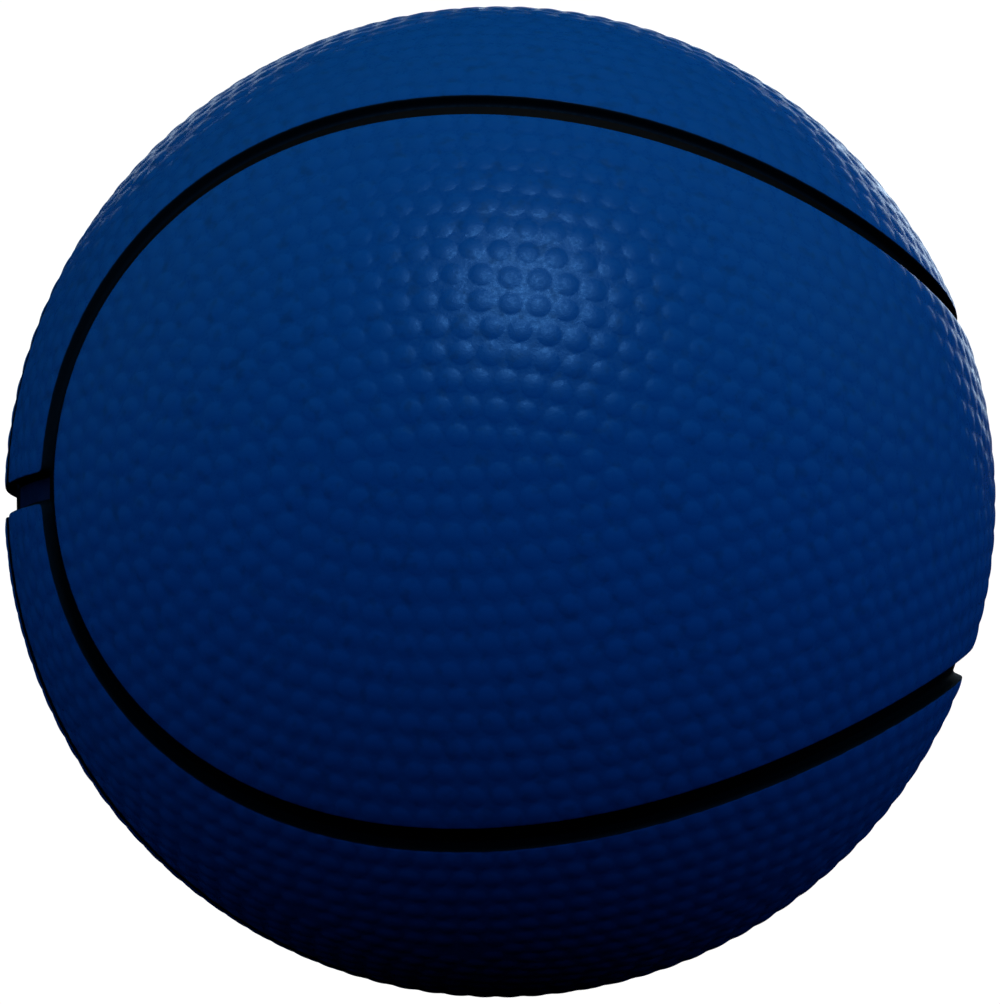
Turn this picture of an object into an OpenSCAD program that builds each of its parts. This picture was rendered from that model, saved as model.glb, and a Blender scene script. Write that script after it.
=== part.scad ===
// Squeeze ball: a soft foam core under a dense pebbled skin. Six raised fields are parted by
// sunken channels. The origin is the ball's centre, +Z is up and the large plain field faces -Y.

/* [Ball] */
// Diameter over the raised fields
ball_d = 63.5; // [50:0.5:80]
// Thickness of the dense skin under the raised fields
skin_t = 2; // [1.6:0.1:4]

/* [Channels] */
// Width of every channel
channel_w = 1.85; // [1.4:0.1:4]
// Depth of every channel below the raised fields
channel_depth = 0.8; // [0.5:0.1:1.4]
// Angle from the middle of a lobed panel's waist to the seam beside it
waist_angle = 19; // [12:0.5:26]

/* [Hidden] */

skin_colour = [0.01, 0.16, 0.42];
paint_colour = [0.02, 0.02, 0.03];
foam_colour = [0.80, 0.79, 0.72];

ball_r = ball_d / 2;
core_r = ball_r - skin_t;
floor_r = ball_r - channel_depth;
half_w = channel_w / 2;
// Half a channel's width as an angle at the ball's centre
half_angle = asin(half_w / ball_r);
// Reach of the cutting solids, well clear of the ball
reach = 1.6 * ball_r;

// The seam is one closed wave on the ball, like the seam of a tennis ball. With lobe + ripple = 1
// and wave = 2 * sqrt(lobe * ripple), each of its points is exactly one radius from the centre.
lobe = (1 + sin(waist_angle)) / 2;
ripple = 1 - lobe;
wave = 2 * sqrt(lobe * ripple);
// Steps along the half of the seam that lies above the equator
steps = 60;

function seam_point(s) = [
    wave * cos(2 * s),
    lobe * sin(s) + ripple * sin(3 * s),
    lobe * cos(s) - ripple * cos(3 * s)
];

function seam_tangent(s) = [
    -2 * wave * sin(2 * s),
    lobe * cos(s) + 3 * ripple * cos(3 * s),
    -lobe * sin(s) + 3 * ripple * sin(3 * s)
];

function unit(v) = v / norm(v);

// A direction beside the seam: side is an angle, positive on the side of the strip panels
function beside_seam(s, side) =
    cos(side) * seam_point(s) + sin(side) * unit(cross(seam_point(s), seam_tangent(s)));

function step_angle(i) = -90 + 180 * i / steps;
function upper_edge(i, side) = reach * beside_seam(step_angle(i), side);
function lower_edge(i, side) = [for (k = [0:2]) upper_edge(i, side)[k] * (k == 2 ? -1 : 1)];
function middle_line(i, side) =
    let (p = upper_edge(i, side))
    reach * unit([p[0], p[1], 0]);

// Point numbers in the lobed solid: the ball's centre first, then the three lines, which share
// their two end points
function at_upper(i) = 1 + i;
function at_lower(i) = i == 0 || i == steps ? at_upper(i) : steps + 1 + i;
function at_middle(i) = i == 0 || i == steps ? at_upper(i) : 2 * steps + i;
function is_triangle(f) = f[0] != f[1] && f[1] != f[2] && f[2] != f[0];

// Everything that lies inside the seam as seen from the ball's centre: the front lobe, the waist
// at +X and the back lobe. side moves its wall along the surface, away from the lobes.
module lobed_solid(side) {
    points = concat(
        [[0, 0, 0]],
        [for (i = [0:steps]) upper_edge(i, side)],
        [for (i = [1:steps - 1]) lower_edge(i, side)],
        [for (i = [1:steps - 1]) middle_line(i, side)]
    );
    faces = [
        for (i = [0:steps - 1])
        for (f = [
            [0, at_upper(i + 1), at_upper(i)],
            [0, at_lower(i), at_lower(i + 1)],
            [at_upper(i), at_upper(i + 1), at_middle(i + 1)],
            [at_upper(i), at_middle(i + 1), at_middle(i)],
            [at_middle(i), at_middle(i + 1), at_lower(i + 1)],
            [at_middle(i), at_lower(i + 1), at_lower(i)]
        ])
        if (is_triangle(f)) f
    ];
    polyhedron(points, faces);
}

module inside_seam() {
    lobed_solid(-half_angle);
}

module up_to_strips() {
    lobed_solid(half_angle);
}

// A layer of the ball between two radii. Its poles point at the middles of the two lobes.
module layer(outer_r, inner_r) {
    rotate([90, 0, 0])
        difference() {
            sphere(r = outer_r, $fn = 96);
            sphere(r = inner_r, $fn = 96);
        }
}

module raised_layer() {
    layer(ball_r, core_r);
}

module floor_layer() {
    layer(floor_r, core_r);
}

module meridian_slab() {
    cube([2 * reach, channel_w, 2 * reach], center = true);
}

// Half of the space on one side of the meridian channel: front = -1 or 1 for the back
module front_or_back(front) {
    translate([-reach, front < 0 ? -reach - half_w : half_w, -reach])
        cube([2 * reach, reach, 2 * reach]);
}

// A quarter of the space, clear of the meridian channel and of the cross channel
module quarter(front, up) {
    translate([
        -reach,
        front < 0 ? -reach - half_w : half_w,
        up < 0 ? -reach - half_w : half_w
    ])
        cube([2 * reach, reach, reach]);
}

module lobe_panel(front) {
    color(skin_colour)
        intersection() {
            raised_layer();
            inside_seam();
            front_or_back(front);
        }
}

module strip_panel(front, up) {
    color(skin_colour)
        difference() {
            intersection() {
                raised_layer();
                quarter(front, up);
            }
            up_to_strips();
        }
}

module foam_core() {
    color(foam_colour)
        sphere(r = core_r, $fn = 96);
}

module front_panel() {
    lobe_panel(-1);
}

module back_panel() {
    lobe_panel(1);
}

module upper_front_panel() {
    strip_panel(-1, 1);
}

module upper_back_panel() {
    strip_panel(1, 1);
}

module lower_front_panel() {
    strip_panel(-1, -1);
}

module lower_back_panel() {
    strip_panel(1, -1);
}

// Floor of the closed wavy channel round both lobes
module seam_channel() {
    color(paint_colour)
        difference() {
            intersection() {
                floor_layer();
                up_to_strips();
            }
            inside_seam();
        }
}

// Floor of the ring over the top, the -X side and the bottom, from seam to seam
module meridian_channel() {
    color(paint_colour)
        difference() {
            intersection() {
                floor_layer();
                meridian_slab();
            }
            up_to_strips();
        }
}

// Floor of the short channel that carries the ring on across the waist at +X
module waist_channel() {
    color(paint_colour)
        intersection() {
            floor_layer();
            meridian_slab();
            inside_seam();
        }
}

// Floors of the two level stubs at -X, one on each side of the ring
module cross_channel() {
    color(paint_colour)
        difference() {
            intersection() {
                floor_layer();
                translate([-reach, -reach, -half_w])
                    cube([reach, 2 * reach, channel_w]);
            }
            up_to_strips();
            meridian_slab();
        }
}

foam_core();
front_panel();
back_panel();
upper_front_panel();
upper_back_panel();
lower_front_panel();
lower_back_panel();
seam_channel();
meridian_channel();
waist_channel();
cross_channel();
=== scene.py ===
# %% [markdown]
# # A foam squeeze ball with a pebbled skin
#
# The object is a palm-sized ball of soft foam, moulded in one shot. Its skin is divided into six
# raised blue fields by sunken black channels, in the pattern of a basketball. Everything is built
# in metres round the ball's centre, with +Z up and the large plain field facing -Y, which is the
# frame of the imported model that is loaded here.

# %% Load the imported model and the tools
import math

import bpy
import numpy as np
from mathutils import Matrix, Vector
from mathutils.geometry import delaunay_2d_cdt
from mathutils.kdtree import KDTree


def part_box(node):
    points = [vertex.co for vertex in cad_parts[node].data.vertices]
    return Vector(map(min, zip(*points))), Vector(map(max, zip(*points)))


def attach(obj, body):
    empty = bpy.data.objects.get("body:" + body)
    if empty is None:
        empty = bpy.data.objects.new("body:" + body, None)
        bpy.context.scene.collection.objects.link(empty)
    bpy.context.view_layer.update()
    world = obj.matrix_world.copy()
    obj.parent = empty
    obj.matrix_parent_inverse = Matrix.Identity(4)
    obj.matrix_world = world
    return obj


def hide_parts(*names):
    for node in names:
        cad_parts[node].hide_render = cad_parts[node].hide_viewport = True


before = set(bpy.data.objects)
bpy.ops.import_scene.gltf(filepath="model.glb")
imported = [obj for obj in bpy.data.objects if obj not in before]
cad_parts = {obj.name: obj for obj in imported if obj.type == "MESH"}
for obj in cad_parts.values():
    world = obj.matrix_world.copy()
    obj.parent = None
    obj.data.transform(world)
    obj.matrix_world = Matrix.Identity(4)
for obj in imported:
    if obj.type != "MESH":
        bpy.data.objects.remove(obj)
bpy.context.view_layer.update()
MM = 0.001
print("pieces in the frame:", ", ".join(sorted(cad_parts)))

# %% [markdown]
# ## Sizes
#
# The ball's three radii, the width of its channels and the angle of its waist are read off the
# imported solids, so the looks follow the design if it changes. Only the finish has sizes of its
# own: the pebbles, the rounded edges and the fillet at the foot of a channel's wall. A moulded
# foam skin can't hold a sharp edge, so every one of these is a few tenths of a millimetre.

# %% Read the sizes from the frame
def farthest(node):
    return max(v.co.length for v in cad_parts[node].data.vertices)


BALL_R = farthest("front_panel")
CORE_R = farthest("foam_core")
FLOOR_R = farthest("meridian_channel")
HALF_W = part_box("waist_channel")[1].y
HALF_ANGLE = math.asin(HALF_W / BALL_R)
WAIST_ANGLE = math.asin(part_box("waist_channel")[1].z / FLOOR_R) + HALF_ANGLE

PEBBLE_PITCH = 1.72 * MM
PEBBLE_RADIUS = 0.78 * MM
PEBBLE_HEIGHT = 0.08 * MM
FIRST_ROW = 0.86 * MM
EDGE_ROUND = 0.14 * MM
CORNER_ROUND = 0.42 * MM
LOOP_STEP = 0.13 * MM
SKIN_R = BALL_R - PEBBLE_HEIGHT

# A pebble's profile: share of its radius, points in the ring there, share of its height.
FOOT = 1.09
DOME = [
    (0.30, 6, 0.915),
    (0.56, 10, 0.70),
    (0.80, 13, 0.38),
    (0.93, 15, 0.15),
    (1.01, 16, 0.03),
    (FOOT, 16, 0.0),
]
print(f"ball {BALL_R / MM:.2f} mm, channel floor {FLOOR_R / MM:.2f} mm, core {CORE_R / MM:.2f} mm")
print(f"channel {2 * HALF_W / MM:.2f} mm wide, waist {math.degrees(WAIST_ANGLE):.1f} degrees")

# %% [markdown]
# ## The seam
#
# The main channel is one closed wave, like the seam of a tennis ball. The formula puts every
# point exactly one radius from the centre, because lobe + ripple = 1 and
# wave = 2 * sqrt(lobe * ripple). A step sideways along the ball from the seam is a turn in the
# plane of the point and the sideways direction, so both walls of the channel keep their width.

# %% The seam as a formula
LOBE = (1 + math.sin(WAIST_ANGLE)) / 2
RIPPLE = 1 - LOBE
WAVE = 2 * math.sqrt(LOBE * RIPPLE)


def unit(v):
    return v / np.linalg.norm(v, axis=-1, keepdims=True)


def seam_point(s):
    return np.stack([
        WAVE * np.cos(2 * s),
        LOBE * np.sin(s) + RIPPLE * np.sin(3 * s),
        LOBE * np.cos(s) - RIPPLE * np.cos(3 * s),
    ], axis=-1)


def seam_tangent(s):
    return unit(np.stack([
        -2 * WAVE * np.sin(2 * s),
        LOBE * np.cos(s) + 3 * RIPPLE * np.cos(3 * s),
        -LOBE * np.sin(s) + 3 * RIPPLE * np.sin(3 * s),
    ], axis=-1))


def beside_seam(s, side):
    p = seam_point(s)
    return math.cos(side) * p + math.sin(side) * np.cross(p, seam_tangent(s))


fine = seam_point(np.linspace(0, 2 * math.pi, 2000)) * BALL_R
seam_length = np.linalg.norm(np.diff(fine, axis=0), axis=1).sum()
print(f"the seam is {seam_length / MM:.0f} mm long")

# %% [markdown]
# ## Outlines of the six fields
#
# Each field is bounded by walls of channels. A lobe has the seam all round and the meridian
# channel across its waist. A strip lies between the seam, the meridian and the short cross
# channel. The walls are sampled, joined into one closed loop, spaced evenly, and its corners are
# softened by averaging neighbours, as the corners of a mould insert are rounded off.

# %% Closed outline loops on the ball
# Each field is one of two shapes, as it is or mirrored front to back (Y) or top to bottom (Z).
FIELDS = [
    ("front_panel", "lobe", (1, 1, 1)),
    ("back_panel", "lobe", (1, -1, 1)),
    ("upper_front_panel", "strip", (1, 1, 1)),
    ("upper_back_panel", "strip", (1, -1, 1)),
    ("lower_front_panel", "strip", (1, 1, -1)),
    ("lower_back_panel", "strip", (1, -1, -1)),
]
FIELD_MIDDLES = {"lobe": np.array([0.1, -1, 0]), "strip": np.array([-0.1, -0.45, 1])}
WALL = HALF_W / BALL_R
WALL_SAMPLES = 4000


def evenly(loop, step):
    """A closed loop of points resampled at even steps along its length."""
    closed = np.vstack([loop, loop[:1]])
    along = np.r_[0, np.cumsum(np.linalg.norm(np.diff(closed, axis=0), axis=1))]
    count = max(8, round(along[-1] / step))
    at = np.arange(count) * along[-1] / count
    return np.stack([np.interp(at, along, closed[:, k]) for k in range(3)], axis=1)


def softened(loop, radius, step):
    """Corners rounded to about a radius, by averaging each point with its neighbours."""
    for _ in range(round(2 * (radius / step) ** 2)):
        loop = (np.roll(loop, 1, axis=0) + 2 * loop + np.roll(loop, -1, axis=0)) / 4
    return unit(loop)


print("fields:", ", ".join(name for name, _, _ in FIELDS))

# %% [markdown]
# ## The two outline shapes
#
# Both are drawn once, for the front upper quarter of the ball. A lobe's lower half is its upper
# half upside down. The other fields are mirror images, so the six of them match along the
# channels. An outline runs anticlockwise as seen from outside, and a mirror image runs the wrong
# way round, so it is then reversed.

# %% Draw the outlines
def lobe_outline():
    """Outline of the lobe at -Y, with the waist at +X."""
    s = np.linspace(0, -math.pi / 2, WALL_SAMPLES)
    upper = beside_seam(s, -HALF_ANGLE)
    upper = upper[upper[:, 1] < -WALL]
    lower = upper[::-1] * [1, 1, -1]
    top = math.asin(upper[0, 2])
    up_the_waist = np.linspace(-top, top, WALL_SAMPLES // 8)[1:-1]
    reach = math.sqrt(1 - WALL ** 2)
    meridian = np.stack([
        reach * np.cos(up_the_waist), np.full_like(up_the_waist, -WALL), reach * np.sin(up_the_waist)
    ], axis=1)
    return np.vstack([upper, lower, meridian])


def strip_outline():
    """Outline of the strip at -Y and +Z, from the waist at +X to the cross channel at -X."""
    s = np.linspace(0, -math.pi / 2, WALL_SAMPLES)
    seam = beside_seam(s, HALF_ANGLE)
    seam = seam[(seam[:, 1] < -WALL) & (seam[:, 2] > WALL)]
    reach = math.sqrt(1 - WALL ** 2)
    start = math.atan2(seam[0, 2], seam[0, 0])
    end = math.pi - math.asin(WALL / reach)
    over = np.linspace(end, start, WALL_SAMPLES)[1:-1]
    meridian = np.stack([reach * np.cos(over), np.full_like(over, -WALL), reach * np.sin(over)], axis=1)
    turn = np.linspace(math.asin(-seam[-1, 1] / reach), math.asin(WALL / reach), WALL_SAMPLES // 8)[1:-1]
    cross = np.stack([-reach * np.cos(turn), -reach * np.sin(turn), np.full_like(turn, WALL)], axis=1)
    return np.vstack([seam, cross, meridian])


def outline(shape, mirror):
    """A field's outline as points on the ball of radius one, anticlockwise from outside."""
    loop = lobe_outline() if shape == "lobe" else strip_outline()
    loop = loop * mirror
    step = LOOP_STEP / BALL_R
    loop = softened(evenly(loop, step), CORNER_ROUND / BALL_R, step)
    loop = unit(evenly(loop, step))
    turning = np.cross(loop, np.roll(loop, -1, axis=0)).sum(axis=0)
    inside = FIELD_MIDDLES[shape] * mirror
    return loop if turning @ inside > 0 else loop[::-1]


outlines = {name: outline(shape, mirror) for name, shape, mirror in FIELDS}
for name, loop in outlines.items():
    print(f"{name}: outline of {len(loop)} points, {len(loop) * LOOP_STEP / MM:.0f} mm round")

# %% [markdown]
# ## Where the pebbles sit
#
# On the real ball the pebbles run in rows beside the channels, one row inside the next, so that
# they close into long rings at the middle of a field. Here each row is the outline moved inward
# by a row's spacing. Points that come nearer to another stretch of the outline are dropped, and
# pebbles are set along what is left at one pitch.

# %% Rows of pebble centres
ROW_TOLERANCE = 0.25
SHORTEST_RUN = 4


def inward(loop):
    """For each point of an outline, the direction along the ball into the field."""
    tangent = unit(np.roll(loop, -1, axis=0) - np.roll(loop, 1, axis=0))
    return unit(np.cross(loop, tangent))


def tree_of(points):
    tree = KDTree(len(points))
    for i, p in enumerate(points):
        tree.insert(p, i)
    tree.balance()
    return tree


def distances(points, tree):
    return np.array([tree.find(p)[2] for p in points])


def runs(keep):
    """The stretches of a closed row that are kept, each as a list of point numbers."""
    if keep.all():
        return [np.arange(len(keep) + 1) % len(keep)]
    first = int(np.argmin(keep))
    order = (np.arange(len(keep)) + first) % len(keep)
    kept = keep[order]
    edges = np.flatnonzero(np.diff(np.r_[False, kept, False].astype(int)))
    return [order[a:b] for a, b in zip(edges[::2], edges[1::2]) if b - a > SHORTEST_RUN]


def along_run(points, pitch, phase):
    lengths = np.r_[0, np.cumsum(np.linalg.norm(np.diff(points, axis=0), axis=1))]
    count = max(1, round(lengths[-1] / pitch))
    at = (np.arange(count) + phase) * lengths[-1] / count
    return np.stack([np.interp(at, lengths, points[:, k]) for k in range(3)], axis=1)


def pebble_rows(loop, rng):
    edge = tree_of(loop)
    into = inward(loop)
    centres = []
    depth = FIRST_ROW / BALL_R
    while True:
        row = math.cos(depth) * loop + math.sin(depth) * into
        full_distance = 2 * math.sin(depth / 2)
        keep = distances(row, edge) > full_distance - ROW_TOLERANCE * LOOP_STEP / BALL_R
        if not keep.any():
            break
        for run in runs(keep):
            centres.append(along_run(row[run], PEBBLE_PITCH / BALL_R, rng.uniform(0.3, 0.7)))
        depth += PEBBLE_PITCH / BALL_R
    return unit(np.vstack(centres)), edge


print(f"rows start {FIRST_ROW / MM:.2f} mm from the edge, {PEBBLE_PITCH / MM:.2f} mm apart")

# %% [markdown]
# ## Making room between pebbles
#
# Where rows meet, pebbles push each other away until they are about a pitch apart, and none may
# come nearer to the edge than the first row. This is a simple relaxation: each round moves every
# pebble a part of the way that its neighbours ask for. One of any pair that is still too close
# is taken out. That leaves the small faults in the rows that a hand-made mould has.

# %% Spread the pebbles
FIRST_SEED = 100
PLACE_FAULT = 0.02
SIZE_FAULT = (-0.05, 0.03)
PUSH_ROUNDS = 24
PUSH_SHARE = 0.35
WANTED_GAP = 0.99
SMALLEST_GAP = 0.80
FAR_OFF = 9


def spread(centres, edge, rng):
    """Pushes crowded pebbles apart, then thins out the pairs that are still too close."""
    pitch = PEBBLE_PITCH / BALL_R
    floor = FIRST_ROW / BALL_R
    centres = unit(centres + rng.normal(0, PLACE_FAULT * pitch, centres.shape))
    for _ in range(PUSH_ROUNDS):
        apart = centres[:, None] - centres[None]
        gap = np.linalg.norm(apart, axis=2)
        np.fill_diagonal(gap, FAR_OFF)
        push = np.clip(1.0 - gap / (WANTED_GAP * pitch), 0, None)
        centres = centres + PUSH_SHARE * (apart * (push * pitch / gap)[..., None]).sum(axis=1)
        centres = unit(centres)
        for i, p in enumerate(centres):
            near, _, away = edge.find(p)
            if away < floor:
                centres[i] = p + (p - np.array(near)) * (floor / away - 1)
        centres = unit(centres)
    keep = np.ones(len(centres), bool)
    gap = np.linalg.norm(centres[:, None] - centres[None], axis=2)
    for i in range(len(centres)):
        close = np.flatnonzero(keep[:i] & (gap[i, :i] < SMALLEST_GAP * pitch))
        keep[i] = len(close) == 0
    return centres[keep]


pebbles = {}
for number, (name, _, _) in enumerate(FIELDS):
    rng = np.random.default_rng(FIRST_SEED + number)
    centres, edge = pebble_rows(outlines[name], rng)
    centres = spread(centres, edge, rng)
    sizes = 1 + rng.uniform(*SIZE_FAULT, len(centres))
    pebbles[name] = (centres, sizes, edge)
    print(f"{name}: {len(centres)} pebbles")

# %% [markdown]
# ## The skin of a field as a mesh
#
# A grid can't follow round pebbles and a curved edge at once, so the skin is triangulated from
# chosen points. Every pebble gives a middle point and rings of points, so that its outline is a
# true circle, and the outline gives bands of points that turn over the rounded edge, down the
# wall and out along the fillet at its foot. Blender's own constrained triangulation joins the
# points after they are laid flat by the stereographic projection, which keeps circles round.

# %% Lay points flat and join them
GAP_OVER_CORE = 0.03 * MM
EDGE_BANDS = [
    (EDGE_ROUND * (1 - math.sin(math.radians(a))), EDGE_ROUND * (1 - math.cos(math.radians(a))))
    for a in (0, 18, 36, 54, 72, 90)
]
CHANNEL_DEPTH = SKIN_R - FLOOR_R
FOOT_BANDS = [
    (-0.01 * MM, 0.45 * CHANNEL_DEPTH),
    (-0.02 * MM, 0.70 * CHANNEL_DEPTH),
    (-0.05 * MM, 0.84 * CHANNEL_DEPTH),
    (-0.12 * MM, 0.95 * CHANNEL_DEPTH),
    (-0.24 * MM, CHANNEL_DEPTH + 0.005 * MM),
    (-0.30 * MM, CHANNEL_DEPTH + 0.12 * MM),
    (-0.05 * MM, SKIN_R - CORE_R - GAP_OVER_CORE),
]


def flat(points, middle):
    """Stereographic projection of points on the unit ball about a middle direction."""
    turn = Vector(middle).rotation_difference(Vector((0, 0, 1))).to_matrix()
    q = points @ np.array(turn).T
    return q[:, :2] * (2 / (1 + q[:, 2:3]))


def triangles(inner, loop, middle):
    """Triangles of the inner points inside a closed loop, as numbers into loop then inner."""
    xy = flat(np.vstack([loop, inner]), middle) * BALL_R / MM
    verts = [Vector(p) for p in xy.tolist()]
    ring = list(range(len(loop)))
    _, _, faces, origins, _, _ = delaunay_2d_cdt(verts, [], [ring], 1, 1e-5)
    first = [o[0] if o else -1 for o in origins]
    found = np.array([[first[i] for i in f] for f in faces])
    assert (found >= 0).all(), "the triangulation made a point of its own"
    return found


print(f"a field's wall has {len(EDGE_BANDS + FOOT_BANDS)} bands, {CHANNEL_DEPTH / MM:.2f} mm deep")

# %% [markdown]
# ## Points on top of and under a field
#
# On top, each pebble gives the same rings, turned by a random angle so that no pattern shows.
# Points that fall on a neighbour's ground or too near the edge are left out. Under the field,
# where nobody looks, a coarse net of points is enough. It is spaced by the golden angle, which
# covers a ball evenly without any poles.

# %% Choose the points
UNDERSIDE_STEP = 1.6 * MM
CLEAR_OF_EDGE = EDGE_ROUND + 0.07 * MM
OWN_GROUND = 0.985
GOLDEN_TURN = math.pi * (3 - math.sqrt(5))


def ring_points(centres, sizes, edge, rng):
    """The middle and the rings of every pebble, without those that crowd another pebble."""
    side = unit(np.cross(centres, rng.normal(size=3)))
    other = np.cross(centres, side)
    near = tree_of(centres)
    points = [centres]
    for share, count, _ in DOME:
        for k in range(count):
            a = 2 * math.pi * (k + 0.5 * (count % 2)) / count
            radius = (share * sizes * PEBBLE_RADIUS / BALL_R)[:, None]
            ring = unit(centres + radius * (math.cos(a) * side + math.sin(a) * other))
            if share > 0.9:
                own = share * sizes * PEBBLE_RADIUS / BALL_R
                free = [near.find(p)[2] > own[i] * OWN_GROUND for i, p in enumerate(ring)]
                ring = ring[np.array(free)]
            points.append(ring)
    points = np.vstack(points)
    return points[distances(points, edge) > CLEAR_OF_EDGE / BALL_R]


def band(loop, into, inset, radius):
    side = inset / BALL_R
    return (math.cos(side) * loop + math.sin(side) * into) * radius


def underside_points(middle, edge, loop):
    """A coarse even net of points under the field, well inside its outline."""
    count = round(4 * math.pi * BALL_R ** 2 / UNDERSIDE_STEP ** 2)
    i = np.arange(count) + 0.5
    z = 1 - 2 * i / count
    turn = i * GOLDEN_TURN
    r = np.sqrt(1 - z ** 2)
    net = np.stack([r * np.cos(turn), r * np.sin(turn), z], axis=1)
    net = net[net @ unit(middle) > -0.2]
    near = np.array([edge.find(p)[1] for p in net])
    inside = ((net - loop[near]) * inward(loop)[near]).sum(axis=1) > 0.7 * UNDERSIDE_STEP / BALL_R
    return net[inside]


sample = len(ring_points(*pebbles["front_panel"], np.random.default_rng(0)))
print(f"the front field has {sample} points on top")

# %% [markdown]
# ## Joining the points into a closed skin
#
# The top and the underside are triangulated, and strips of quads join them down the wall, so the
# skin is one closed shell with its faces outwards.

# %% Make a field's mesh
def skin_mesh(name, middle):
    loop = outlines[name]
    centres, sizes, edge = pebbles[name]
    into = inward(loop)
    rng = np.random.default_rng(len(loop))
    size = len(loop)
    ring = np.arange(size)

    top_inner = ring_points(centres, sizes, edge, rng)
    top_loop = unit(band(loop, into, EDGE_BANDS[0][0], 1))
    rows = [band(loop, into, inset, SKIN_R - depth) for inset, depth in EDGE_BANDS + FOOT_BANDS]
    under_inner = underside_points(middle, edge, loop)
    points = np.vstack([*rows, top_inner * SKIN_R, under_inner * (CORE_R + GAP_OVER_CORE)])

    top = triangles(top_inner, top_loop, middle)
    top = np.where(top < size, top, top + (len(rows) - 1) * size)
    under = triangles(under_inner, unit(rows[-1]), middle)
    under = np.where(under < size, under + (len(rows) - 1) * size,
                     under - size + len(rows) * size + len(top_inner))[:, ::-1]
    walls = [
        np.stack([a + ring, b + ring, b + np.roll(ring, -1), a + np.roll(ring, -1)], axis=1)
        for a, b in ((k * size, (k + 1) * size) for k in range(len(rows) - 1))
    ]
    mesh = bpy.data.meshes.new(name + "_skin")
    mesh.from_pydata(points.tolist(), [], [*top.tolist(), *under.tolist(), *np.vstack(walls).tolist()])
    mesh.validate()
    mesh.update()
    return mesh


# %% [markdown]
# ## Helpers for node trees
#
# A node tree is easier to read when each node takes one line. These helpers make a tree, give it
# a named input, and add a node with its settings and links together.

# %% Start a tree
def new_tree(name):
    tree = bpy.data.node_groups.new(name, "GeometryNodeTree")
    tree.is_modifier = True
    tree.interface.new_socket("Geometry", in_out="INPUT", socket_type="NodeSocketGeometry")
    tree.interface.new_socket("Geometry", in_out="OUTPUT", socket_type="NodeSocketGeometry")
    return tree


def tree_input(tree, name, kind, value=None):
    socket = tree.interface.new_socket(name, in_out="INPUT", socket_type="NodeSocket" + kind)
    if value is not None:
        socket.default_value = value
    return socket


def add(tree, kind, **settings):
    """A node of a kind, with its settings; links and values are given as inputs=..."""
    inputs = settings.pop("inputs", {})
    node = tree.nodes.new(kind)
    for key, value in settings.items():
        setattr(node, key, value)
    for key, value in inputs.items():
        if isinstance(value, bpy.types.NodeSocket):
            tree.links.new(value, node.inputs[key])
        else:
            node.inputs[key].default_value = value
    return node


def math_node(tree, operation, a, b=0.0):
    return add(tree, "ShaderNodeMath", operation=operation, inputs={0: a, 1: b}).outputs[0]


print("helpers for node trees are ready")

# %% [markdown]
# ## Raising the pebbles
#
# The smooth skin is raised into domes by geometry nodes. For each point of the skin the tree
# finds the nearest pebble's centre and pushes the point straight out along the ball's radius, by
# a profile that is round on top and runs out softly at the foot. The same tree keeps two facts
# for the paint: how high on a pebble a point is, and how deep in a channel.

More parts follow.
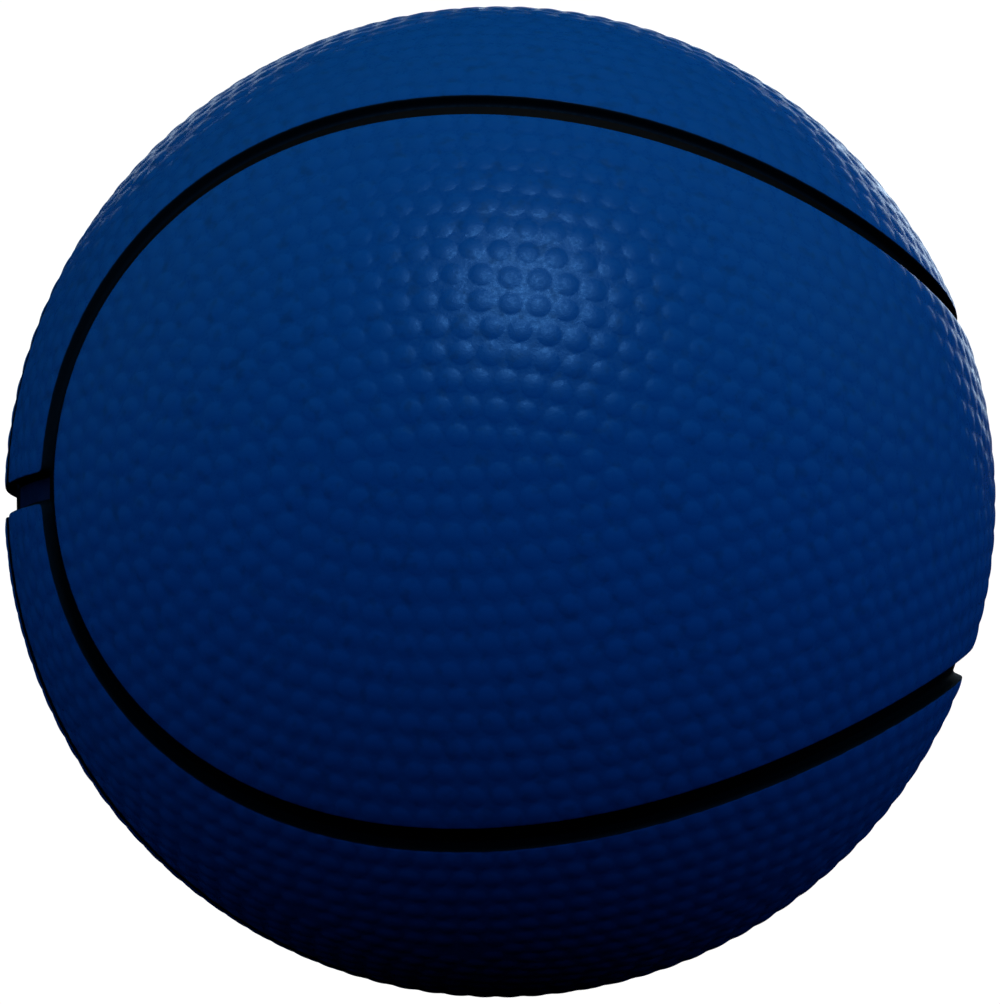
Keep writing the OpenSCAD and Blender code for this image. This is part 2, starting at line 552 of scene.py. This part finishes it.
# %% The tree that raises pebbles
def pebble_tree():
    tree = new_tree("raise_pebbles")
    tree_input(tree, "Centres", "Object")
    tree_input(tree, "Pebble radius", "Float", PEBBLE_RADIUS)
    tree_input(tree, "Pebble height", "Float", PEBBLE_HEIGHT)
    tree_input(tree, "Skin radius", "Float", SKIN_R)
    tree_input(tree, "Seed", "Int", 7)
    tree_input(tree, "Material", "Material")
    given = tree.nodes.new("NodeGroupInput").outputs
    centres = add(tree, "GeometryNodeObjectInfo", inputs={"Object": given["Centres"]}).outputs["Geometry"]
    place = add(tree, "GeometryNodeInputPosition").outputs[0]
    out = add(tree, "ShaderNodeVectorMath", operation="NORMALIZE", inputs={0: place}).outputs[0]
    radius = add(tree, "ShaderNodeVectorMath", operation="LENGTH", inputs={0: place}).outputs["Value"]
    nearest = add(tree, "GeometryNodeSampleNearest", inputs={"Geometry": centres}).outputs["Index"]
    centre = add(tree, "GeometryNodeSampleIndex", data_type="FLOAT_VECTOR", inputs={
        "Geometry": centres, "Value": place, "Index": nearest}).outputs["Value"]
    named = add(tree, "GeometryNodeInputNamedAttribute", data_type="FLOAT", inputs={"Name": "size"})
    size = add(tree, "GeometryNodeSampleIndex", data_type="FLOAT", inputs={
        "Geometry": centres, "Value": named.outputs["Attribute"], "Index": nearest}).outputs["Value"]
    away = add(tree, "ShaderNodeVectorMath", operation="DISTANCE", inputs={
        0: place, 1: centre}).outputs["Value"]
    own_radius = math_node(tree, "MULTIPLY", size, given["Pebble radius"])
    share = math_node(tree, "DIVIDE", away, own_radius)
    profile = add(tree, "ShaderNodeFloatCurve", inputs={"Value": math_node(tree, "DIVIDE", share, FOOT)})
    curve = profile.mapping.curves[0]
    curve.points[0].location = (0, 1)
    curve.points[1].location = (1, 0)
    for share_of_radius, _, share_of_height in DOME[:-1]:
        curve.points.new(share_of_radius / FOOT, share_of_height)
    profile.mapping.update()
    relief = profile.outputs[0]
    lift = add(tree, "FunctionNodeRandomValue", data_type="FLOAT", inputs={
        2: 0.86, 3: 1.0, "ID": nearest, "Seed": given["Seed"]}).outputs[1]
    height = math_node(tree, "MULTIPLY", math_node(tree, "MULTIPLY", relief, lift), given["Pebble height"])
    offset = add(tree, "ShaderNodeVectorMath", operation="SCALE", inputs={
        0: out, "Scale": height}).outputs[0]
    depth = math_node(tree, "SUBTRACT", given["Skin radius"], radius)
    kept = add(tree, "GeometryNodeStoreNamedAttribute", data_type="FLOAT", inputs={
        "Geometry": given["Geometry"], "Name": "depth", "Value": depth}).outputs[0]
    kept = add(tree, "GeometryNodeStoreNamedAttribute", data_type="FLOAT", inputs={
        "Geometry": kept, "Name": "relief", "Value": relief}).outputs[0]
    raised = add(tree, "GeometryNodeSetPosition", inputs={"Geometry": kept, "Offset": offset}).outputs[0]
    smooth = add(tree, "GeometryNodeSetShadeSmooth", inputs={"Geometry": raised}).outputs[0]
    real = add(tree, "GeometryNodeRealizeInstances", inputs={"Geometry": smooth}).outputs[0]
    painted = add(tree, "GeometryNodeSetMaterial", inputs={
        "Geometry": real, "Material": given["Material"]}).outputs[0]
    add(tree, "NodeGroupOutput", inputs={0: painted})
    return tree


RAISE = pebble_tree()
print("the pebble tree has", len(RAISE.nodes), "nodes")

# %% [markdown]
# ## From a tree to a plain mesh
#
# A modifier runs the tree, and its inputs are found by their names and set by their identifiers.
# The evaluated result is then kept as a mesh of its own, and the object that carried the
# modifier is thrown away, so that what is left is plain geometry.

# %% Run a tree
def through_tree(obj, tree, name, **values):
    """Runs an object through a tree and gives the result as a plain mesh object."""
    modifier = obj.modifiers.new("build", "NODES")
    modifier.node_group = tree
    sockets = {s.name: s.identifier for s in tree.interface.items_tree if s.item_type == "SOCKET"}
    for key, value in values.items():
        modifier[sockets[key.replace("_", " ")]] = value
    depsgraph = bpy.context.evaluated_depsgraph_get()
    mesh = bpy.data.meshes.new_from_object(obj.evaluated_get(depsgraph), depsgraph=depsgraph)
    bpy.data.objects.remove(obj)
    mesh.name = name
    made = bpy.data.objects.new(name, mesh)
    bpy.context.collection.objects.link(made)
    return made



# %% [markdown]
# ## Helpers for finishes
#
# The finishes are all built from the same few nodes: noise, a range, a mix and an attribute. A
# short helper for each keeps a finish down to one line for each thing it does. Every pattern
# reads object coordinates, which stay put when the ball is turned.

# %% Start a material
def new_material(name):
    material = bpy.data.materials.new(name)
    material.use_nodes = True
    tree = material.node_tree
    tree.nodes.clear()
    shader = tree.nodes.new("ShaderNodeBsdfPrincipled")
    out = tree.nodes.new("ShaderNodeOutputMaterial")
    tree.links.new(shader.outputs[0], out.inputs[0])
    coordinates = tree.nodes.new("ShaderNodeTexCoord").outputs["Object"]
    return material, tree, shader, coordinates


def noise(tree, coordinates, size, detail=3.0, roughness=0.5):
    """Noise whose largest features are about a size in metres across."""
    return add(tree, "ShaderNodeTexNoise", inputs={
        "Vector": coordinates, "Scale": 1 / size, "Detail": detail, "Roughness": roughness}).outputs["Fac"]


def between(tree, value, low, high, to_low, to_high):
    return add(tree, "ShaderNodeMapRange", clamp=True, inputs={
        "Value": value, "From Min": low, "From Max": high, "To Min": to_low, "To Max": to_high}).outputs[0]


def attribute(tree, name):
    return add(tree, "ShaderNodeAttribute", attribute_name=name).outputs["Fac"]


def mixed(tree, factor, a, b):
    node = add(tree, "ShaderNodeMix", data_type="RGBA")
    for socket, value in ((node.inputs[0], factor), (node.inputs[6], a), (node.inputs[7], b)):
        if isinstance(value, bpy.types.NodeSocket):
            tree.links.new(value, socket)
        else:
            socket.default_value = value
    return node.outputs[2]


# %% [markdown]
# ## The blue coat and the black channel paint
#
# The coat is a flexible satin lacquer over foam. It is even in colour apart from a soft mottle and
# painted shade that darkens the valleys between pebbles, and a little duller on their tops, where
# hands rub it. The foam's own cells give it a fine grain, which breaks a highlight into specks.
# Its gloss is weak, and takes on the blue of the coat. The channel is painted last, so black runs
# down the wall from just under the rounded edge, with a slightly uneven border. Depth in the
# channel drives the border, and fine noise moves it up and down. The black paint is matt.

# %% The skin's finish
BLUE = (0.0004, 0.035, 0.210, 1)
# The deeper blue carries painted shade in the valleys between pebbles, and a random mottle.
DEEP_BLUE = (0.0004, 0.032, 0.194, 1)
BLACK = (0.0006, 0.0007, 0.0016, 1)
GLOSS_TINT = (0.10, 0.42, 1.0, 1)
GLOSS = 0.125
CLOUD_SIZE = 9 * MM
GRAIN_SIZE = 0.30 * MM
GRAIN_HEIGHT = 0.019 * MM
GRAIN_STRENGTH = 0.7
ROUGHEST = 0.37
SMOOTHEST = 0.22
DULLER_TOPS = 0.06
DULLER_PAINT = 0.5
BORDER_WAVE = 0.9 * MM
BORDER_RISE = 0.008 * MM
PAINT_STARTS = 0.002 * MM
PAINT_FULL = 0.03 * MM


def skin_finish():
    material, tree, shader, coordinates = new_material("blue_coat")
    relief = attribute(tree, "relief")
    depth = attribute(tree, "depth")
    cloud = noise(tree, coordinates, CLOUD_SIZE)
    grain = noise(tree, coordinates, GRAIN_SIZE, detail=3, roughness=0.65)
    # Painted shade: the valleys between pebbles are mixed towards the deeper blue.
    valley_shade = between(tree, relief, 0.0, 0.35, 0.75, 0.0)
    shade_and_mottle = math_node(tree, "ADD", valley_shade, between(tree, cloud, 0.35, 0.7, 0.0, 0.35))
    blue = mixed(tree, shade_and_mottle, BLUE, DEEP_BLUE)
    wave = noise(tree, coordinates, BORDER_WAVE)
    rise = between(tree, wave, 0.3, 0.7, -BORDER_RISE, BORDER_RISE)
    border = math_node(tree, "ADD", depth, rise)
    paint = between(tree, border, PAINT_STARTS, PAINT_FULL, 0.0, 1.0)
    tree.links.new(mixed(tree, paint, blue, BLACK), shader.inputs["Base Color"])
    speckle = between(tree, grain, 0.38, 0.64, ROUGHEST, SMOOTHEST)
    dull_tops = between(tree, relief, 0, 0.5, 0, DULLER_TOPS)
    dull_paint = between(tree, paint, 0, 1, 0, DULLER_PAINT)
    rough = math_node(tree, "ADD", math_node(tree, "ADD", speckle, dull_tops), dull_paint)
    tree.links.new(rough, shader.inputs["Roughness"])
    shader.inputs["Specular IOR Level"].default_value = GLOSS
    shader.inputs["Specular Tint"].default_value = GLOSS_TINT
    bump = add(tree, "ShaderNodeBump", inputs={
        "Height": grain, "Distance": GRAIN_HEIGHT, "Strength": GRAIN_STRENGTH})
    tree.links.new(bump.outputs[0], shader.inputs["Normal"])
    return material


SKIN = skin_finish()
print("finish made:", SKIN.name)

# %% [markdown]
# ## The six fields
#
# Each field takes its own seed, so no two have the same faults in their rows. The points that
# mark pebble centres go in as a bare mesh with a size for each, and leave no trace in the result.

# %% Build the fields
def centres_object(name):
    centres, sizes, _ = pebbles[name]
    mesh = bpy.data.meshes.new(name + "_centres")
    mesh.from_pydata((centres * SKIN_R).tolist(), [], [])
    mesh.attributes.new("size", "FLOAT", "POINT").data.foreach_set("value", sizes.astype(np.float32))
    points = bpy.data.objects.new(name + "_centres", mesh)
    bpy.context.collection.objects.link(points)
    return points


for number, (name, shape, mirror) in enumerate(FIELDS):
    middle = unit(FIELD_MIDDLES[shape] * mirror)
    plain = bpy.data.objects.new(name + "_plain", skin_mesh(name, middle))
    bpy.context.collection.objects.link(plain)
    points = centres_object(name)
    skin = through_tree(plain, RAISE, name + "_skin", Centres=points, Seed=number, Material=SKIN)
    bpy.data.objects.remove(points)
    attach(skin, "root")
    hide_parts(name)
    print(f"{skin.name}: {len(skin.data.polygons)} faces")

# %% [markdown]
# ## Channel floors
#
# Each floor is a strip swept along its channel's centre line: the closed seam, the long meridian
# arc, its short arc across the waist, and the two stubs of the cross channel. Geometry nodes do
# the sweep, with the profile turned so that its top always faces straight out of the ball. The
# strips are wider than the channel, so their sides lie hidden under the fields' feet.

# %% The tree that sweeps a strip
UNDER_THE_FEET = 0.35 * MM
STRIP_HALF = HALF_W + UNDER_THE_FEET
STRIP_LAYER = FLOOR_R - CORE_R
LENGTH_STEP = 0.35 * MM
WIDTH_STEP = 0.23 * MM


def sweep_tree():
    tree = new_tree("sweep_strip")
    tree_input(tree, "Half width", "Float", STRIP_HALF)
    tree_input(tree, "Thickness", "Float", STRIP_LAYER)
    tree_input(tree, "Step", "Float", LENGTH_STEP)
    tree_input(tree, "Material", "Material")
    given = tree.nodes.new("NodeGroupInput").outputs
    even = add(tree, "GeometryNodeResampleCurve", mode="LENGTH", inputs={
        "Curve": given["Geometry"], "Length": given["Step"]}).outputs[0]
    place = add(tree, "GeometryNodeInputPosition").outputs[0]
    out = add(tree, "ShaderNodeVectorMath", operation="NORMALIZE", inputs={0: place}).outputs[0]
    faced = add(tree, "GeometryNodeSetCurveNormal", mode="FREE", inputs={
        "Curve": even, "Normal": out}).outputs[0]
    width = math_node(tree, "MULTIPLY", given["Half width"], 2.0)
    block = add(tree, "GeometryNodeCurvePrimitiveQuadrilateral", inputs={
        "Width": given["Thickness"], "Height": width}).outputs[0]
    profile = add(tree, "GeometryNodeResampleCurve", mode="LENGTH", inputs={
        "Curve": block, "Length": WIDTH_STEP}).outputs[0]
    swept = add(tree, "GeometryNodeCurveToMesh", inputs={
        "Curve": faced, "Profile Curve": profile, "Fill Caps": True}).outputs[0]
    smooth = add(tree, "GeometryNodeSetShadeSmooth", inputs={"Geometry": swept}).outputs[0]
    real = add(tree, "GeometryNodeRealizeInstances", inputs={"Geometry": smooth}).outputs[0]
    painted = add(tree, "GeometryNodeSetMaterial", inputs={
        "Geometry": real, "Material": given["Material"]}).outputs[0]
    add(tree, "NodeGroupOutput", inputs={0: painted})
    return tree


SWEEP = sweep_tree()
print("the sweep tree has", len(SWEEP.nodes), "nodes")

# %% [markdown]
# ## Paint on the channel floors
#
# The floors are brushed with a matt black, a touch uneven. The short cross channel's floor is a
# dark navy instead of black. Both are the same finish with two pairs of colours.

# %% The paint's finish
PAINT_CLOUD = 2 * MM
PAINT_GRAIN = 0.3 * MM
PAINT_GRAIN_HEIGHT = 0.02 * MM
PAINT_GLOSS = 0.05
SOFT_BLACK = (0.0008, 0.0009, 0.0024, 1)
NAVY = (0.0006, 0.0025, 0.022, 1)
SOFT_NAVY = (0.0014, 0.005, 0.042, 1)


def paint_finish(name, dark, light):
    material, tree, shader, coordinates = new_material(name)
    cloud = between(tree, noise(tree, coordinates, PAINT_CLOUD), 0.3, 0.7, 0, 1)
    tree.links.new(mixed(tree, cloud, dark, light), shader.inputs["Base Color"])
    grain = noise(tree, coordinates, PAINT_GRAIN, detail=3)
    tree.links.new(between(tree, grain, 0.3, 0.7, 0.55, 0.75), shader.inputs["Roughness"])
    shader.inputs["Specular IOR Level"].default_value = PAINT_GLOSS
    bump = add(tree, "ShaderNodeBump", inputs={
        "Height": grain, "Distance": PAINT_GRAIN_HEIGHT, "Strength": 0.5})
    tree.links.new(bump.outputs[0], shader.inputs["Normal"])
    return material


PAINT = paint_finish("channel_paint", BLACK, SOFT_BLACK)
NAVY_PAINT = paint_finish("navy_channel_paint", NAVY, SOFT_NAVY)

print("finishes made:", PAINT.name, "and", NAVY_PAINT.name)

# %% [markdown]
# ## Sweeping the four floors
#
# The floors that cross under the seam's floor lie a hundredth of a millimetre deeper, so that no
# two surfaces share a place where they meet.

# %% Sweep the floors
SEAM_SAMPLES = 1200
ARC_SAMPLES = 400


def path_object(name, points, closed):
    curve = bpy.data.curves.new(name, "CURVE")
    curve.dimensions = "3D"
    spline = curve.splines.new("POLY")
    spline.points.add(len(points) - 1)
    spline.points.foreach_set("co", np.c_[points, np.ones(len(points))].ravel())
    spline.use_cyclic_u = closed
    path = bpy.data.objects.new(name, curve)
    bpy.context.collection.objects.link(path)
    return path


def arc(start, end, across, up):
    a = np.linspace(start, end, ARC_SAMPLES)[:, None]
    return np.cos(a) * np.array(across) + np.sin(a) * np.array(up)


UNDER_SEAM = 0.01 * MM
mid_layer = (FLOOR_R + CORE_R) / 2
seam_turns = np.linspace(0, 2 * math.pi, SEAM_SAMPLES, endpoint=False)
seam_line = seam_point(seam_turns) * mid_layer
over_the_top = arc(WAIST_ANGLE, 2 * math.pi - WAIST_ANGLE, (1, 0, 0), (0, 0, 1))
across_the_waist = arc(-WAIST_ANGLE, WAIST_ANGLE, (1, 0, 0), (0, 0, 1))
stubs = [arc(0, math.copysign(WAIST_ANGLE, side), (-1, 0, 0), (0, 1, 0)) for side in (-1, 1)]
floors = {
    "seam_channel": [(seam_line, True)],
    "meridian_channel": [(over_the_top * (mid_layer - UNDER_SEAM), False)],
    "waist_channel": [(across_the_waist * (mid_layer - UNDER_SEAM), False)],
    "cross_channel": [(stub * (mid_layer - 2 * UNDER_SEAM), False) for stub in stubs],
}
for name, paths in floors.items():
    paint = NAVY_PAINT if name == "cross_channel" else PAINT
    parts = [
        through_tree(path_object(name + "_path", points, closed), SWEEP, name + "_floor", Material=paint)
        for points, closed in paths
    ]
    floor = parts[0]
    if len(parts) > 1:
        with bpy.context.temp_override(active_object=floor, selected_editable_objects=parts):
            bpy.ops.object.join()
    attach(floor, "root")
    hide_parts(name)
    reach = [corner.co.length for corner in floor.data.vertices]
    print(f"{floor.name}: {len(floor.data.polygons)} faces,",
          f"{min(reach) / MM:.2f} to {max(reach) / MM:.2f} mm from the centre")

# %% [markdown]
# ## The foam core
#
# The core is hidden by the skin, so its solid stays as it is and only gets a foam finish. Painted
# shade darkens the hollow of each cell against its lighter ribs.

# %% The core's finish
CELL_SIZE = 0.5 * MM
SHADE_IN_A_CELL = (0.45, 0.43, 0.34, 1)
ON_A_RIB = (0.78, 0.76, 0.66, 1)


def foam_finish():
    material, tree, shader, coordinates = new_material("soft_foam")
    cells = add(tree, "ShaderNodeTexVoronoi", inputs={
        "Vector": coordinates, "Scale": 1 / CELL_SIZE}).outputs["Distance"]
    # Painted shade: each cell's hollow is darker than the ribs round it.
    tree.links.new(mixed(tree, cells, SHADE_IN_A_CELL, ON_A_RIB), shader.inputs["Base Color"])
    shader.inputs["Roughness"].default_value = 0.95
    bump = add(tree, "ShaderNodeBump", inputs={"Height": cells, "Distance": 0.2 * MM, "Strength": 0.8})
    tree.links.new(bump.outputs[0], shader.inputs["Normal"])
    return material


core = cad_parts["foam_core"]
core.data.materials.clear()
core.data.materials.append(foam_finish())
print(f"the core is {2 * CORE_R / MM:.1f} mm across, with cells of {CELL_SIZE / MM:.1f} mm")

# %% [markdown]
# ## Camera
#
# The camera looks at the front field from a little to the left and a little below. It stands far
# back with a long lens, which keeps a ball round at the edge of the picture.

# %% Place the camera
CAMERA_AZIMUTH = math.radians(-7.8)
CAMERA_ELEVATION = math.radians(-5.0)
CAMERA_ROLL = math.radians(-0.5)
CAMERA_DISTANCE = 16.5 * BALL_R
BALL_SHARE = 0.988
SENSOR = 36.0
NEAREST_SEEN = 0.01
FARTHEST_SEEN = 50

camera_data = bpy.data.cameras.new("camera")
camera = bpy.data.objects.new("camera", camera_data)
bpy.context.collection.objects.link(camera)
bpy.context.scene.camera = camera
back = Vector((
    math.sin(CAMERA_AZIMUTH) * math.cos(CAMERA_ELEVATION),
    -math.cos(CAMERA_AZIMUTH) * math.cos(CAMERA_ELEVATION),
    math.sin(CAMERA_ELEVATION),
))
camera.location = back * CAMERA_DISTANCE
camera.rotation_mode = "QUATERNION"
aim = (-back).to_track_quat("-Z", "Y").to_matrix()
camera.rotation_quaternion = (aim @ Matrix.Rotation(CAMERA_ROLL, 3, "Z")).to_quaternion()
ball_half_angle = math.asin(BALL_R / CAMERA_DISTANCE)
camera_data.sensor_width = SENSOR
camera_data.lens = SENSOR / 2 * BALL_SHARE / math.tan(ball_half_angle)
camera_data.clip_start = NEAREST_SEEN
camera_data.clip_end = FARTHEST_SEEN
print(f"lens {camera_data.lens:.0f} mm at {CAMERA_DISTANCE:.2f} m")

# %% [markdown]
# ## The floor
#
# The ball stands on a plain pale floor. It throws no light up at the ball, so the underside stays
# dark, and it is clear from below, because the camera looks up past its edge. The light of the
# tent, which comes next, has little red in it. The floor is reddish with a white glow of its own
# to make up for that, and comes out a neutral pale grey.

# %% Lay the floor
FLOOR_COLOUR = (0.98, 0.30, 0.37, 1)
FLOOR_GLOW = 0.40
FLOOR_HALF = 4.0


def stage_floor():
    mesh = bpy.data.meshes.new("floor")
    corners = [(x * FLOOR_HALF, y * FLOOR_HALF, -BALL_R) for x, y in ((-1, -1), (1, -1), (1, 1), (-1, 1))]
    mesh.from_pydata(corners, [], [(0, 1, 2, 3)])
    floor = bpy.data.objects.new("floor", mesh)
    bpy.context.collection.objects.link(floor)
    material, tree, shader, _ = new_material("pale_floor")
    shader.inputs["Base Color"].default_value = FLOOR_COLOUR
    shader.inputs["Roughness"].default_value = 0.9
    shader.inputs["Specular IOR Level"].default_value = 0
    shader.inputs["Emission Color"].default_value = (1, 1, 1, 1)
    shader.inputs["Emission Strength"].default_value = FLOOR_GLOW
    side = add(tree, "ShaderNodeNewGeometry").outputs["Backfacing"]
    clear = add(tree, "ShaderNodeBsdfTransparent").outputs[0]
    one_sided = add(tree, "ShaderNodeMixShader", inputs={0: side, 1: shader.outputs[0], 2: clear})
    tree.links.new(one_sided.outputs[0], tree.nodes["Material Output"].inputs[0])
    mesh.materials.append(material)
    floor.visible_diffuse = False
    floor.visible_glossy = False


stage_floor()
print(f"floor {2 * FLOOR_HALF:.0f} m across, {BALL_R / MM:.2f} mm under the ball's centre")

# %% [markdown]
# ## The tent
#
# The ball is lit as under a large tent: an even glow from the whole upper half and none from
# below, so the blue falls off smoothly from top to bottom. The glow has a colour for each height
# above the horizon, is a little stronger at the right and in front, and is kept out of glossy
# reflections. It has little red in it, which keeps a deep blue pure. The camera sees plain white.

# %% Put up the tent
# Height as the sine of the angle above the horizon, and the glow's colour there.
GLOW = [
    (-0.10, (0.0, 0.0, 0.0)),
    (0.02, (0.05, 0.06, 0.20)),
    (0.17, (0.2, 0.52, 0.95)),
    (0.38, (0.3, 1.17, 1.40)),
    (0.64, (0.4, 1.45, 1.19)),
    (0.87, (0.3, 1.12, 0.48)),
    (0.98, (0.3, 0.94, 0.39)),
]
TENT_POWER = 1.17
RIGHT_LEAN = 0.29
FRONT_LEAN = 0.12
BACKDROP_WHITE = 1.05


def sky():
    world = bpy.data.worlds.new("tent")
    bpy.context.scene.world = world
    world.cycles_visibility.glossy = False
    world.use_nodes = True
    tree = world.node_tree
    tree.nodes.clear()
    direction = add(tree, "ShaderNodeTexCoord").outputs["Generated"]
    part = add(tree, "ShaderNodeSeparateXYZ", inputs={0: direction}).outputs
    ramp = add(tree, "ShaderNodeValToRGB", inputs={0: between(tree, part["Z"], -1, 1, 0, 1)})
    stops = ramp.color_ramp.elements
    while len(stops) < len(GLOW):
        stops.new(0.5)
    for stop, (height, colour) in zip(stops, GLOW):
        stop.position = (height + 1) / 2
        stop.color = (*colour, 1)
    to_the_right = math_node(tree, "MULTIPLY", part["X"], RIGHT_LEAN)
    to_the_front = math_node(tree, "MULTIPLY", part["Y"], -FRONT_LEAN)
    lean = math_node(tree, "ADD", math_node(tree, "ADD", to_the_right, to_the_front), TENT_POWER)
    rays = add(tree, "ShaderNodeLightPath").outputs
    tent = add(tree, "ShaderNodeBackground", inputs={"Color": ramp.outputs[0], "Strength": lean})
    white = add(tree, "ShaderNodeBackground", inputs={"Color": (1, 1, 1, 1), "Strength": BACKDROP_WHITE})
    mix = add(tree, "ShaderNodeMixShader", inputs={
        0: rays["Is Camera Ray"], 1: tent.outputs[0], 2: white.outputs[0]})
    add(tree, "ShaderNodeOutputWorld", inputs={0: mix.outputs[0]})


sky()
print("the tent glows in", len(GLOW), "bands")

# %% [markdown]
# ## The soft boxes
#
# A soft box above the camera gives the broad highlight, in which each pebble shows a dark rim.
# Two narrow lights behind the ball graze its upper rim and pick out the pebbles there. Angles are
# in degrees: azimuth from the front round to the right, elevation up from the horizon.

# %% Set the soft boxes
LIGHT_DISTANCE = 0.5
WHITE_LIGHT = (1, 1, 1)
COOL_LIGHT = (0.66, 0.84, 1)


def soft_box(name, azimuth, elevation, size, power, colour):
    data = bpy.data.lights.new(name, "AREA")
    data.shape = "RECTANGLE"
    data.size, data.size_y = size
    data.energy = power
    data.color = colour
    light = bpy.data.objects.new(name, data)
    a, e = math.radians(azimuth), math.radians(elevation)
    direction = Vector((math.sin(a) * math.cos(e), -math.cos(a) * math.cos(e), math.sin(e)))
    light.location = LIGHT_DISTANCE * direction
    light.rotation_euler = (-light.location).to_track_quat("-Z", "Y").to_euler()
    light.visible_diffuse = False
    bpy.context.collection.objects.link(light)
    print(f"{name}: {power} W from {azimuth} degrees round and {elevation} degrees up")


soft_box("key", azimuth=0, elevation=43, size=(0.18, 0.18), power=2.5, colour=WHITE_LIGHT)
soft_box("backdrop_right", azimuth=160, elevation=15, size=(0.22, 0.12), power=0.26, colour=COOL_LIGHT)
soft_box("backdrop_left", azimuth=-177, elevation=21, size=(0.12, 0.08), power=0.045, colour=COOL_LIGHT)
bpy.context.scene.view_settings.view_transform = "Standard"
